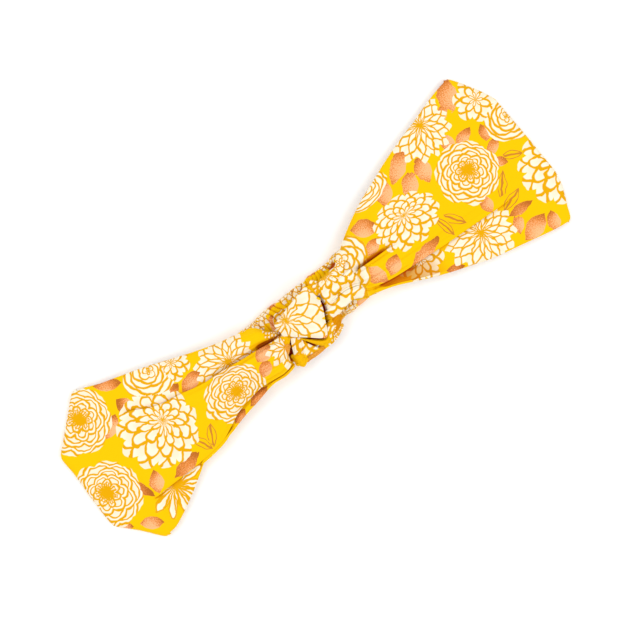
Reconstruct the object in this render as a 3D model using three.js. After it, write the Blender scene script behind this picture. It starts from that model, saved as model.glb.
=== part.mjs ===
// A knotted headband: a loop of printed cotton, lying pressed flat on its elastic back.
// Two cotton wraps, one from each end, link through each other in a knot at the front. Each wrap
// fans out from the knot, folds back under itself at the end of the loop, and narrows to the seam
// of a gathered casing that holds the elastic. The cloth of each wrap is divided at its creases,
// so that the loop can open: back, fold, front and knot loop are one strip of cloth in use.
// Frame: X along the loop, Y across it, +Z up, origin under the middle of the flat headband.
import * as THREE from "three";

// ---- Driving dimensions, in millimetres ----
const LOOP_LENGTH = 250; // from pressed end to pressed end
const FOLD_DEPTH = 27; // from a pressed end's tip to the crease where its layers part
const KNOT_LENGTH = 56; // between the creases where the wraps leave the knot

const ELASTIC_WIDTH = 20;
const ELASTIC_THICKNESS = 1.2;
const CASING_LENGTH = 120; // from seam to seam, gathered
const CASING_EASE = 2.5; // cloth beyond the elastic at each edge
const CASING_WALL = 1.1; // gathered cloth over and under the elastic

const BACK_THICKNESS = 2.4; // the wrap's pressed layers under the loop
const FRONT_THICKNESS = 2.6; // and over it
const EDGE_ROUNDING = 1.2; // of the pressed edges
const SEAM_WIDTH = 22; // the wrap's gathered end, sewn into the casing

const STRAND_THICKNESS = 4; // one limb of a knot loop
const LINK_THICKNESS = 5.4; // the right loop, where it passes through the left one
const LEFT_LOOP_WIDTH = 15;
const RIGHT_LIMB_WIDTH = 6;
const KNOT_NECK = 4.2; // depth of the left loop where it runs into its wrap

const THREAD = 0.3; // thickness of the seam's zigzag thread
const STITCH_LENGTH = 2.5; // from one zigzag point to the next, across the seam
const STITCH_REACH = 3; // how far the zigzag runs along the casing

const CLEARANCE = 0.3; // between pieces that lie against each other

// A wrap's plan beyond the knot. Each edge is a list of [distance in from the tip, distance from
// the middle line], from the knot outwards, with the tip's corners shared between the two.
const LEFT_WRAP = {
  name: "left",
  side: -1,
  upperNeck: 12.2,
  lowerNeck: 15,
  upperEdge: [[75, 18], [42, 30], [24.5, 37.3], [1, 18]],
  lowerEdge: [[69, 19.8], [49, 22], [36.5, 30.5], [18, 37.3], [0, 19]],
};
const RIGHT_WRAP = {
  name: "right",
  side: 1,
  upperNeck: 12.5,
  lowerNeck: 12,
  upperEdge: [[85, 18.5], [65, 27], [13.5, 41.3], [2, 23], [0, 15]],
  lowerEdge: [[75, 21], [41, 33.5], [10, 41.3], [3, 28], [0, 16]],
};

// ---- Places worked out from them ----
const TIP_X = LOOP_LENGTH / 2;
const CREASE_X = TIP_X - FOLD_DEPTH;
const KNOT_X = KNOT_LENGTH / 2;
const CASING_X = CASING_LENGTH / 2;
const NECK_X = KNOT_X - CLEARANCE;
const CASING_THICKNESS = ELASTIC_THICKNESS + 2 * CLEARANCE + 2 * CASING_WALL;
const CASING_WIDTH = ELASTIC_WIDTH + 2 * CASING_EASE;
const FRONT_Z = BACK_THICKNESS + CLEARANCE; // underside of the front layers at the crease
const FOLD_THICKNESS = FRONT_Z + FRONT_THICKNESS;
const STITCH_Z = CASING_THICKNESS + CLEARANCE / 2;
const KNOT_BASE = CASING_THICKNESS + CLEARANCE;

// The front rises from the crease so that it clears the stitches at the end of the casing.
const FRONT_RISE = (STITCH_Z + THREAD + CLEARANCE - FRONT_Z) / (CREASE_X - CASING_X);
const FRONT_SLOPE = Math.atan(FRONT_RISE);
const FRONT_END_Z = FRONT_Z + FRONT_RISE * (CREASE_X - KNOT_X); // its underside at the knot

// The right loop's bar lies in the left loop's eye, and tilts down from there to its front.
const BAR_X = 1 - RIGHT_LIMB_WIDTH;
const LINK_BASE = KNOT_BASE + STRAND_THICKNESS + CLEARANCE;
const LINK_TILT = Math.atan2(LINK_BASE - FRONT_END_Z, NECK_X - BAR_X);
const LINK_ROOM = RIGHT_LIMB_WIDTH * Math.sin(LINK_TILT); // height that the tilt takes in the eye
const EYE_HEIGHT = LINK_THICKNESS + LINK_ROOM + 2 * CLEARANCE;
const KNOT_TOP = LINK_BASE - CLEARANCE + EYE_HEIGHT + STRAND_THICKNESS;

// A flat piece of cloth layers with the given plan and thickness, its edges rounded over.
// It lies between z 0 and its thickness, and no edge reaches outside the plan.
function layers(points, thickness) {
  const round = Math.min(thickness / 2 - 0.05, EDGE_ROUNDING);
  const plan = new THREE.Shape(points.map(([x, y]) => new THREE.Vector2(x, y)));
  const geometry = new THREE.ExtrudeGeometry(plan, {
    depth: thickness - 2 * round,
    bevelThickness: round,
    bevelSize: round,
    bevelOffset: -round,
    bevelSegments: 3,
  });
  return geometry.translate(0, 0, round);
}

// ---- Plan of a wrap ----

// An edge as [distance from the middle of the loop, distance from the middle line] points.
function edgePoints(edge, neck) {
  const points = edge.map(([inboard, y]) => [TIP_X - inboard, y]);
  return [[KNOT_X, neck], ...points.filter(([x]) => x > KNOT_X)];
}

// The edge's distance from the middle line at a distance x from the middle of the loop.
function edgeAt(points, x) {
  const next = points.findIndex(([px]) => px > x);
  const [[ax, ay], [bx, by]] = [points[next - 1], points[next]];
  return ay + ((by - ay) * (x - ax)) / (bx - ax);
}

// The wrap's plan between two distances from the middle of the loop, the outer one up to its tip.
function planBetween(wrap, from, to) {
  const between = (points) => {
    const inner = points.filter(([x]) => x > from && x < to);
    const outer = to < TIP_X ? [[to, edgeAt(points, to)]] : points.filter(([x]) => x === TIP_X);
    return [[from, edgeAt(points, from)], ...inner, ...outer];
  };
  const upper = between(edgePoints(wrap.upperEdge, wrap.upperNeck));
  const lower = between(edgePoints(wrap.lowerEdge, wrap.lowerNeck)).map(([x, y]) => [x, -y]);
  return [...upper, ...lower.reverse()];
}

const mirrored = (points, side) => points.map(([x, y]) => [side * x, y]);

// ---- The pieces ----

const cotton = () => new THREE.MeshStandardMaterial({ color: 0xffd200, roughness: 0.85, metalness: 0 });
const webbing = () => new THREE.MeshStandardMaterial({ color: 0xf4f2ea, roughness: 0.9, metalness: 0 });
const thread = () => new THREE.MeshStandardMaterial({ color: 0xf3c021, roughness: 0.7, metalness: 0 });

function piece(name, geometry, material) {
  const mesh = new THREE.Mesh(geometry, material);
  mesh.name = name;
  return mesh;
}

// Flat woven elastic, its ends caught in the two seams.
function elasticBand() {
  const length = CASING_LENGTH - 2 * CLEARANCE;
  const band = new THREE.BoxGeometry(length, ELASTIC_WIDTH, ELASTIC_THICKNESS);
  return piece("elastic_band", band.translate(0, 0, CASING_THICKNESS / 2), webbing());
}

// A flat tube with round edges, open at both ends for the elastic. Drawn in its cross-section.
function elasticCasing() {
  const round = CASING_THICKNESS / 2;
  const flat = CASING_WIDTH / 2 - round;
  const section = new THREE.Shape();
  section.moveTo(-flat, 0);
  section.lineTo(flat, 0);
  section.absarc(flat, round, round, -Math.PI / 2, Math.PI / 2, false);
  section.lineTo(-flat, CASING_THICKNESS);
  section.absarc(-flat, round, round, Math.PI / 2, Math.PI * 1.5, false);
  const tunnelY = ELASTIC_WIDTH / 2 + CLEARANCE;
  const tunnelZ = ELASTIC_THICKNESS / 2 + CLEARANCE;
  const tunnel = new THREE.Path();
  tunnel.moveTo(-tunnelY, round - tunnelZ);
  tunnel.lineTo(-tunnelY, round + tunnelZ);
  tunnel.lineTo(tunnelY, round + tunnelZ);
  tunnel.lineTo(tunnelY, round - tunnelZ);
  section.holes.push(tunnel);
  const tube = new THREE.ExtrudeGeometry(section, {
    depth: CASING_LENGTH,
    bevelEnabled: false,
    curveSegments: 8,
  });
  tube.rotateX(Math.PI / 2).rotateZ(Math.PI / 2).translate(-CASING_X, 0, 0);
  return piece("elastic_casing", tube, cotton());
}

// One row of zigzag thread on top of the casing, over the seam that catches wrap and elastic.
function seamStitches(wrap) {
  const count = Math.floor(SEAM_WIDTH / STITCH_LENGTH);
  const outer = CASING_X - 3 * THREAD;
  const half = (count * STITCH_LENGTH) / 2;
  const line = [];
  for (let i = 0; i <= count; i++) {
    line.push([outer - (i % 2 ? STITCH_REACH : 0), -half + i * STITCH_LENGTH]);
  }
  const strip = [...line, ...line.map(([x, y]) => [x - 3 * THREAD, y]).reverse()];
  const plan = new THREE.Shape(mirrored(strip, wrap.side).map(([x, y]) => new THREE.Vector2(x, y)));
  const row = new THREE.ExtrudeGeometry(plan, { depth: THREAD, bevelEnabled: false });
  return piece(wrap.name + "_seam_stitches", row.translate(0, 0, STITCH_Z), thread());
}

// The wrap under the loop, from the casing's seam out to the crease.
function wrapBack(wrap) {
  const seam = CASING_X + CLEARANCE;
  const crease = CREASE_X - CLEARANCE;
  const outline = planBetween(wrap, seam, crease);
  const outer = outline.filter(([x]) => x === crease);
  const plan = [[seam, SEAM_WIDTH / 2], ...outer, [seam, -SEAM_WIDTH / 2]];
  const cloth = layers(mirrored(plan, wrap.side), BACK_THICKNESS);
  return piece(wrap.name + "_wrap_back", cloth, cotton());
}

// The pressed end, where the wrap turns back under itself.
function wrapFold(wrap) {
  const outline = planBetween(wrap, CREASE_X + CLEARANCE, TIP_X);
  const cloth = layers(mirrored(outline, wrap.side), FOLD_THICKNESS);
  return piece(wrap.name + "_wrap_fold", cloth, cotton());
}

// The wrap over the loop, rising from the crease to the knot over the end of the casing.
function wrapFront(wrap) {
  const crease = CREASE_X - CLEARANCE;
  const outline = planBetween(wrap, KNOT_X + CLEARANCE, crease).map(([x, y]) => [x - crease, y]);
  const cloth = piece(
    wrap.name + "_wrap_front",
    layers(mirrored(outline, wrap.side), FRONT_THICKNESS),
    cotton(),
  );
  const hinge = new THREE.Group();
  hinge.position.set(wrap.side * crease, 0, FRONT_Z);
  hinge.rotation.y = wrap.side * FRONT_SLOPE;
  hinge.add(cloth);
  return hinge;
}

// The left wrap's loop: it comes over the top of the knot, turns down and returns underneath,
// with an eye that the right loop passes through. Drawn in its side view and given its width.
function leftKnotLoop() {
  const turn = 2; // where the loop starts to turn down
  const top = KNOT_TOP;
  const middle = (KNOT_BASE + top) / 2;
  const outer = (top - KNOT_BASE) / 2;
  const side = new THREE.Shape();
  side.moveTo(-NECK_X, KNOT_BASE);
  side.lineTo(turn, KNOT_BASE);
  side.absarc(turn, middle, outer, -Math.PI / 2, Math.PI / 2, false);
  side.lineTo(turn - outer, top);
  side.lineTo(-NECK_X, KNOT_BASE + KNOT_NECK);
  const eye = new THREE.Path();
  const eyeBack = turn - outer - RIGHT_LIMB_WIDTH;
  eye.moveTo(eyeBack, LINK_BASE - CLEARANCE);
  eye.lineTo(eyeBack + 2, LINK_BASE - CLEARANCE + EYE_HEIGHT);
  eye.lineTo(turn, LINK_BASE - CLEARANCE + EYE_HEIGHT);
  eye.absarc(turn, middle, EYE_HEIGHT / 2, Math.PI / 2, -Math.PI / 2, true);
  side.holes.push(eye);
  const loop = new THREE.ExtrudeGeometry(side, {
    depth: LEFT_LOOP_WIDTH,
    bevelEnabled: false,
    curveSegments: 10,
  });
  loop.rotateX(Math.PI / 2).translate(0, LEFT_LOOP_WIDTH / 2, 0);
  return piece("left_knot_loop", loop, cotton());
}

// The right wrap's loop, lying around the turn of the left one. Drawn in plan from the middle
// of its bar, then tilted down towards its wrap.
function rightKnotLoop() {
  const inside = LEFT_LOOP_WIDTH / 2 + CLEARANCE;
  const outside = inside + RIGHT_LIMB_WIDTH;
  const bar = RIGHT_LIMB_WIDTH / 2;
  const neck = NECK_X - BAR_X;
  const corner = 2;
  const plan = new THREE.Shape();
  plan.moveTo(neck, -outside + corner);
  plan.lineTo(neck, outside - corner);
  plan.lineTo(corner, outside);
  plan.lineTo(-bar, outside - 2 * corner);
  plan.lineTo(-bar, -outside + 2 * corner);
  plan.lineTo(corner, -outside);
  const eye = new THREE.Path();
  const eyeFront = neck - 2 * RIGHT_LIMB_WIDTH;
  eye.moveTo(bar, -inside);
  eye.lineTo(eyeFront, -inside);
  eye.lineTo(eyeFront, inside);
  eye.lineTo(bar, inside);
  plan.holes.push(eye);
  const loop = new THREE.ExtrudeGeometry(plan, { depth: LINK_THICKNESS, bevelEnabled: false });
  loop.translate(0, 0, -LINK_THICKNESS / 2).rotateY(LINK_TILT);
  loop.translate(BAR_X, 0, LINK_BASE - CLEARANCE + EYE_HEIGHT / 2);
  return piece("right_knot_loop", loop, cotton());
}

const headband = new THREE.Group();
headband.add(elasticBand(), elasticCasing(), leftKnotLoop(), rightKnotLoop());
for (const wrap of [LEFT_WRAP, RIGHT_WRAP]) {
  headband.add(seamStitches(wrap), wrapBack(wrap), wrapFold(wrap), wrapFront(wrap));
}

export default headband;
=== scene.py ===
"""A knotted headband of printed cotton, lying pressed flat on a white table, knot up.

Every piece of cloth is a thin closed shell around a grid of points. The two fans and their folds
are drawn as cross-sections that change along the loop; the knot is a set of folded bands over them.
The print is worked out where it falls: each face of the cloth stores the nearest flower and the
nearest leaf as mesh attributes, and one material draws them. Each point also stores painted
shade, how dark the material paints it for lying deep in a fold.
"""

import math

import bpy
import numpy as np
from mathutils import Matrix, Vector


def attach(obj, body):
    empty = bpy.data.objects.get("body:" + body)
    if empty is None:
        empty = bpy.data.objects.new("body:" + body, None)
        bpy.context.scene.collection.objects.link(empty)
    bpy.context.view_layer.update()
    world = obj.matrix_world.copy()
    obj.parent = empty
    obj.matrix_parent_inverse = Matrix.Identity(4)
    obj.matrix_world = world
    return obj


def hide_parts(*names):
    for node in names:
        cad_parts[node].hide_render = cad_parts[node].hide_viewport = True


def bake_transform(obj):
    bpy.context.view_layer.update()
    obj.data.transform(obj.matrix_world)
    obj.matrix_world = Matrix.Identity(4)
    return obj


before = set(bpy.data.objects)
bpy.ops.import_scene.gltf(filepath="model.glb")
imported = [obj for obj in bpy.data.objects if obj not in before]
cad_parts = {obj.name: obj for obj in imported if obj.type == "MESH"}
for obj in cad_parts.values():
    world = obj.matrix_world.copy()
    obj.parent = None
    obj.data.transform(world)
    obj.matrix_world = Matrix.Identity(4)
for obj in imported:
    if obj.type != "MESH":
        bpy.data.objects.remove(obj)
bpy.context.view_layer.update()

MM = 0.001

# ---- Sizes, in millimetres, in the part's frame ----

CLOTH = 0.45  # thickness of the cotton
PRINT_SPAN = 250.0  # one unit of the print's coordinates
SEAM = 60.0  # where the wraps' backs meet the casing
SEAM_HALF_WIDTH = 11.0
HEM = 5.0  # how far the pressed tube's far layer shows under its edges
TIP_Z = 4.2  # top surface at the pressed ends
TABLE_GAP = 0.25  # under the back layers

CASING_HALF_LENGTH = 60.0
CASING_HALF_WIDTH = 12.2
CASING_MIDDLE_Z = 3.0
CASING_HALF_HEIGHT = 2.3
ELASTIC_HALF_LENGTH = 59.0
ELASTIC_HALF_WIDTH = 9.9
ELASTIC_RIBS = 12
ELASTIC_ROWS = 240
ELASTIC_COLUMNS = 97
GATHER = 2.3  # mean distance between gathers along the casing
CASING_FULLNESS = 1.5  # how much longer its cloth is before it is gathered
CASING_ROWS = 620
CASING_COLUMNS = 56

# ---- Curves ----


def curve(points, at):
    """A smooth curve through (position, value) points, read at each position."""
    px, py = np.array(sorted(points), float).T
    at = np.clip(at, px[0], px[-1])
    slope = np.gradient(py, px)
    i = np.clip(np.searchsorted(px, at) - 1, 0, len(px) - 2)
    h = px[i + 1] - px[i]
    t = (at - px[i]) / h
    a = (2 * t**3 - 3 * t**2 + 1) * py[i] + (t**3 - 2 * t**2 + t) * h * slope[i]
    return a + (3 * t**2 - 2 * t**3) * py[i + 1] + (t**3 - t**2) * h * slope[i + 1]


def line(points, at):
    """Straight lines through (position, value) points, read at each position."""
    px, py = np.array(sorted(points), float).T
    return np.interp(at, px, py)


def ease(low, high, at):
    """0 below low and 1 above high, smooth between."""
    t = np.clip((at - low) / (high - low), 0, 1)
    return t * t * (3 - 2 * t)


def through(points, count):
    """Points evenly spaced along a smooth curve through a few 3-D points."""
    points = np.array(points, float)
    along = np.concatenate([[0], np.cumsum(np.linalg.norm(np.diff(points, axis=0), axis=1))])
    at = np.linspace(0, along[-1], count)
    return np.stack([curve(list(zip(along, points[:, k])), at) for k in range(3)], axis=1)


def unit(vectors):
    """Vectors along the last axis, made one long."""
    return vectors / np.maximum(np.linalg.norm(vectors, axis=-1, keepdims=True), 1e-9)


def wander(at, seed, pitch):
    """Smooth noise in one dimension, between -1 and 1, with bumps about pitch apart."""
    random = np.random.default_rng(seed)
    knots = random.uniform(-1, 1, 512)
    at = np.asarray(at, float) / pitch + 128
    i = np.floor(at).astype(int)
    t = at - i
    t = t * t * (3 - 2 * t)
    return knots[i % 512] * (1 - t) + knots[(i + 1) % 512] * t


# ---- The print: where flowers and leaves fall ----

# Forms of flower: petals in a ring, rings, how deep the notches between petals go (in rings);
# how round a petal is (1 pointed, 2 round), swirl in rings a turn, size of its yellow eye;
# how far its middle leans off centre, 1 for an echo line inside each petal, length of eye rays.
ZINNIA = (7, 5, 0.5, 2.2, 0, 0.26, 0.1, 1, 0.07)
PEONY = (11, 5, 0.8, 2.6, 0, 0.05, 0.3, 0, 0.02)
SCALES = (10, 6, 0.6, 2.4, 0, 0.12, 0.05, 0, 0.04)
BROAD = (7, 3, 0.8, 2.4, 0, 0.0, 0.0, 0, 0)
DAHLIA = (13, 5, 1.2, 1.2, 0, 0.12, 0.12, 0, 0.04)
ROSE = (4, 6, 0.5, 2.0, 2, 0.08, 0.1, 0, 0.03)
SUNFLOWER = (11, 2, 0.9, 1.6, 0, 0.44, 0.0, 0, 0.36)
STAR = (9, 3, 1.3, 1.2, 0, 0.0, 0.0, 0, 0)
SHELL = (5, 6, 0.6, 2.2, 0, 0.0, 0.0, 0, 0)
PINWHEEL = (11, 5, 1.1, 1.4, 0, 0.07, 0.0, 0, 0.02)


def flower(x, y, radius, form, turn=0, on="ULT", tall=1.0):
    """One flower of the print. on names the layers of cloth that show it; tall is below 1 where
    the cloth is gathered across."""
    turn = math.radians(turn)
    return {"at": (x, y), "size": radius, "form": form, "turn": turn, "on": on, "tall": tall}


def leaf(x, y, half_length, turn, width, tone=0.35, outline=False, on="ULT"):
    """One leaf: width is a share of its length; tone runs from pale foil to brown."""
    form = (width, tone, float(outline))
    turn = math.radians(turn)
    return {"at": (x, y), "size": half_length, "form": form, "turn": turn, "on": on, "tall": 1.0}


LEFT_FLOWERS = [
    flower(-108.5, 26.5, 15.5, ZINNIA, 10),
    flower(-119, -7.5, 16, ZINNIA, 50),
    flower(-46.5, -7.5, 15, ZINNIA, 30, on="L", tall=0.8),
    flower(-70.5, 23.5, 12.5, ROSE, 60, on="U"),
    flower(-60, 21, 9, BROAD, 0, on="U"),
    flower(-41.5, 5, 15, DAHLIA, 5, on="U", tall=0.85),
    flower(-83, 2, 18.5, PEONY, 15, on="UL"),
    flower(-93, -22.5, 15, SUNFLOWER, 0, on="T"),
    flower(-16.5, -6, 9.5, STAR, 200, on="L"),
    flower(-16, 3.5, 5, PEONY, 20, on="U"),
]
LEFT_LEAVES = [
    leaf(-88, 31, 6.5, -30, 0.45, 0.6),
    leaf(-88, 19, 4.6, 105, 0.75, 0.75),
    leaf(-98.5, 15.5, 6, 30, 0.6, 0.3),
    leaf(-70, 11, 7.5, 0, 0.4, 0.6, on="U"),
    leaf(-58, 9, 6.5, 12, 0.5, 0.4, on="U"),
    leaf(-105.5, -14, 7.5, -64, 0.3, 0.9),
    leaf(-98, -16, 5.5, 65, 0.6, 0.3),
    leaf(-82.5, -18.6, 8.5, 10, 0.36, 0.75, on="L"),
    leaf(-71.5, -15.5, 5.5, 112, 0.4, 0.6, True, on="L"),
    leaf(-66, -15.5, 5.5, 60, 0.4, 0.6, True, on="L"),
    leaf(-111, -29, 5.5, -35, 0.55, 0.3),
    leaf(-121, -23, 3.5, -40, 0.5, 0.4),
    leaf(-29, -7.5, 4.5, 35, 0.65, 0.35, on="L"),
    leaf(-25.5, -1.8, 5, 20, 0.7, 0.25, on="L"),
    leaf(-51, -16.8, 4, 20, 0.6, 0.7, on="T"),
    leaf(-39, -15.2, 6, 10, 0.4, 0.7, on="T"),
]
RIGHT_FLOWERS = [
    flower(89.5, 32.5, 15.5, DAHLIA, 20, on="UL"),
    flower(81, -21, 17, DAHLIA, 0, on="T"),
    flower(94.5, 3.5, 14.5, ZINNIA, 40, on="UL"),
    flower(60, 4, 16.5, PEONY, 80, on="UL", tall=0.7),
    flower(127, -19, 17, PEONY, 10),
    flower(124.5, 11.5, 11.5, ROSE, 150, on="UL"),
    flower(118, 26.5, 10.5, BROAD, 40, on="UL"),
    flower(53, 26, 13, ROSE, 40, on="U", tall=0.55),
    flower(26, 7.5, 13.5, SHELL, 10, on="U"),
    flower(17, 7.2, 20, SCALES, 90),
    flower(54, -13, 11, BROAD, 20, on="T"),
]
RIGHT_LEAVES = [
    leaf(109, 35.5, 9, 62, 0.5, 0.35),
    leaf(102, 31, 6, 25, 0.4, 0.4),
    leaf(111.5, 12.5, 4.5, 80, 0.55, 0.5),
    leaf(110.5, 5.5, 5, 25, 0.5, 0.45),
    leaf(96, 19.5, 5.5, 100, 0.55, 0.35),
    leaf(103, 17, 5.5, 15, 0.5, 0.4),
    leaf(109, -1.5, 4.5, -35, 0.5, 0.6),
    leaf(115, -2.5, 5, -30, 0.4, 0.6, True),
    leaf(43.5, 13, 6.5, -30, 0.65, 0.4),
    leaf(60, 20, 6.5, 55, 0.6, 0.35),
    leaf(72.5, 25, 9, 35, 0.42, 0.3),
    leaf(71.5, 15.5, 8, 50, 0.45, 0.3),
    leaf(80, 17, 6.5, 80, 0.6, 0.25),
    leaf(41, 4.5, 5, 20, 0.55, 0.35),
    leaf(34.5, -6, 6.5, 118, 0.55, 0.3, on="UL"),
    leaf(43.5, -7.5, 5, 35, 0.7, 0.3, on="UL"),
    leaf(72, -8.5, 6, 100, 0.35, 0.5, True, on="UL"),
    leaf(77, -8.5, 6, 125, 0.35, 0.5, True, on="UL"),
    leaf(58, -12, 10, 8, 0.28, 0.5, on="UL"),
    leaf(92.5, -12.5, 4.5, 80, 0.65, 0.35, on="UL"),
    leaf(103, -10.5, 7, 50, 0.3, 0.6, True, on="UL"),
    leaf(102, -18, 6.5, 18, 0.35, 0.6, True),
    leaf(103, -23.5, 6.5, -3, 0.35, 0.8),
    leaf(98, -28, 5, 60, 0.5, 0.35),
    leaf(103, -34, 7.5, 15, 0.55, 0.35),
    leaf(111, -37, 5, 70, 0.6, 0.35),
    leaf(64, -26, 4.5, -22, 0.45, 0.8, on="T"),
]
KNOT_FLOWERS = [
    flower(-8.5, 3.5, 20, PINWHEEL, 12, on="F"),
    flower(-7, -5, 12, PEONY, 30, on="P"),
    flower(13, 8, 7, PEONY, 0, on="Q"),
    flower(6, -17, 8, ZINNIA, 0, on="H"),
    flower(-4, -3, 15, PEONY, 0, on="K"),
]
KNOT_LEAVES = [
    leaf(0, -10.5, 4, 85, 0.75, 0.5, on="F"),
    leaf(-7, -16.2, 9, 0, 0.4, 0.7, on="S"),
    leaf(-16.6, -6.8, 7, 45, 1.0, 0.6, on="S"),
]


SCATTER_X = 33  # distance between two scattered flowers in a row, and between rows
SCATTER_Y = 27


def scattered(width, height, seed, on):
    """Flowers and leaves spread evenly over a width by height area around the origin."""
    random = np.random.default_rng(seed)
    flowers = []
    leaves = []
    forms = [ZINNIA, PEONY, DAHLIA, ROSE]
    for row in range(int(height / SCATTER_Y) + 2):
        for column in range(int(width / SCATTER_X) + 2):
            x = -width / 2 + SCATTER_X * (column + 0.5 * (row % 2)) + random.uniform(-2, 2)
            y = -height / 2 + SCATTER_Y * row + random.uniform(-2, 2)
            form = forms[int(random.integers(4))]
            flowers.append(flower(x, y, random.uniform(12.5, 14.5), form, random.uniform(0, 90), on))
            tone = random.uniform(0.2, 0.8)
            leaves.append(leaf(x + 16, y + 3, 6, random.uniform(30, 150), 0.55, tone, on=on))
            leaves.append(leaf(x + 8, y + 14, 5, random.uniform(-60, 60), 0.5, tone, on=on))
    return flowers, leaves


def nearest(motifs, middles, corners, layers):
    """For each face, its nearest motif on its layer: the corners in that motif's own frame,
    with its size in millimetres, and the motif's form."""
    local = np.full((len(middles), 4, 3), 9.0)
    form = np.zeros((len(middles), 9))
    for layer in np.unique(layers):
        shown = [m for m in motifs if layer in m["on"]]
        faces = np.nonzero(layers == layer)[0]
        if not shown:
            local[faces, :, 2] = 1.0
            continue
        at = np.array([m["at"] for m in shown])
        size = np.array([m["size"] for m in shown])
        tall = np.array([(1.0, m["tall"]) for m in shown])
        apart = np.linalg.norm((middles[faces, None, :] - at[None]) / tall[None], axis=2) / size
        pick = np.argmin(apart, axis=1)
        turn = np.array([m["turn"] for m in shown])[pick][:, None]
        step = (corners[faces] - at[pick][:, None]) / tall[pick][:, None] / size[pick][:, None, None]
        local[faces, :, 0] = np.cos(turn) * step[..., 0] + np.sin(turn) * step[..., 1]
        local[faces, :, 1] = np.cos(turn) * step[..., 1] - np.sin(turn) * step[..., 0]
        local[faces, :, 2] = size[pick][:, None]
        forms = np.array([tuple(m["form"]) + (0,) * (9 - len(m["form"])) for m in shown], float)
        form[faces] = forms[pick]
    return local, form


# ---- Cloth as a thin shell ----


def grid_faces(rows, columns, around):
    """Corner indices of a grid's faces, closing its columns into a tube where around is true."""
    i, j = np.meshgrid(np.arange(rows - 1), np.arange(columns - (not around)), indexing="ij")
    here = (i * columns + j).ravel()
    right = (i * columns + (j + 1) % columns).ravel()
    return np.stack([here, right, right + columns, here + columns], 1)


def normals_of(points, around):
    """Unit normals of a grid of points."""
    down = np.gradient(points, axis=0)
    if around:
        across = np.roll(points, -1, axis=1) - np.roll(points, 1, axis=1)
    else:
        across = np.gradient(points, axis=1)
    return unit(np.cross(down, across))


def cloth(name, points, layers, flowers, leaves, material, hollow=0.0, uv=None, around=False):
    """A shell of cloth whose outside is the grid. layers names the layer of each column of faces,
    or of them all, and the number or grid after the material is painted shade: how dark each point
    is painted for lying deep inside a fold, 1 for the darkest. uv is where each point lies in the
    print: straight below it, if it isn't given."""
    rows, columns = points.shape[:2]
    uv = (points[:, :, :2] if uv is None else uv).reshape(-1, 2)
    faces = grid_faces(rows, columns, around)
    rim, rim_owner = border_of(faces)
    outside = points.reshape(-1, 3)
    inside = outside - CLOTH * normals_of(points, around).reshape(-1, 3)
    total = len(outside)
    walls = np.stack([rim[:, 1], rim[:, 0], rim[:, 0] + total, rim[:, 1] + total], 1)
    quads = np.concatenate([faces, faces[:, ::-1] + total, walls])
    mesh = bpy.data.meshes.new(name)
    mesh.from_pydata((np.concatenate([outside, inside]) * MM).tolist(), [], quads.tolist())
    mesh.shade_smooth()
    layer = np.tile(np.resize(list(layers), columns - (not around)), rows - 1)
    owner = np.concatenate([np.arange(len(faces)), np.arange(len(faces)), rim_owner])
    middles = uv[faces].mean(axis=1)[owner]
    corners = np.concatenate([uv, uv])[quads]
    store(mesh, "bloom", *nearest(flowers, middles, corners, layer[owner]))
    store(mesh, "leaf", *nearest(leaves, middles, corners, layer[owner]))
    sharpen(mesh, rim, total)
    # Painted shade: how dark each point is painted for lying deep in a fold, stored for the material.
    depth = np.broadcast_to(hollow, (rows, columns)).ravel()
    mesh.attributes.new("hollow", "FLOAT", "POINT").data.foreach_set("value", np.tile(depth, 2))
    plan = mesh.uv_layers.new(name="print")
    plan.data.foreach_set("uv", (corners.reshape(-1, 2) / PRINT_SPAN).astype(np.float32).ravel())
    mesh.materials.append(material)
    obj = bpy.data.objects.new(name, mesh)
    bpy.context.scene.collection.objects.link(obj)
    return obj


def sharpen(mesh, rim, total):
    """Makes the rims of a shell's outside and inside sharp."""
    border = {tuple(sorted(pair)) for pair in rim.tolist()}
    border |= {(a + total, b + total) for a, b in border}
    sharp = mesh.attributes.new("sharp_edge", "BOOLEAN", "EDGE")
    sharp.data.foreach_set("value", [tuple(sorted(edge.vertices)) in border for edge in mesh.edges])


def border_of(faces):
    """A grid's border as pairs of corners, in the direction its own faces run, and the face that
    each pair belongs to: an edge that no other face has the other way round."""
    owner = {}
    for index, face in enumerate(faces.tolist()):
        for pair in zip(face, face[1:] + face[:1]):
            owner[pair] = index
    border = [pair for pair in owner if pair[::-1] not in owner]
    return np.array(border), np.array([owner[pair] for pair in border])


def store(mesh, name, local, form):
    """Writes a motif's frame and form to the mesh, one value for each corner of each face."""
    count = len(local) * 4
    each = np.repeat(form, 4, axis=0)
    parts = [("_at", local.reshape(count, 3))]
    parts += [("_" + letter, each[:, 3 * k:3 * k + 3]) for k, letter in enumerate("abc")]
    for ending, values in parts:
        attribute = mesh.attributes.new(name + ending, "FLOAT_VECTOR", "CORNER")
        attribute.data.foreach_set("vector", values.astype(np.float32).ravel())
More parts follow.
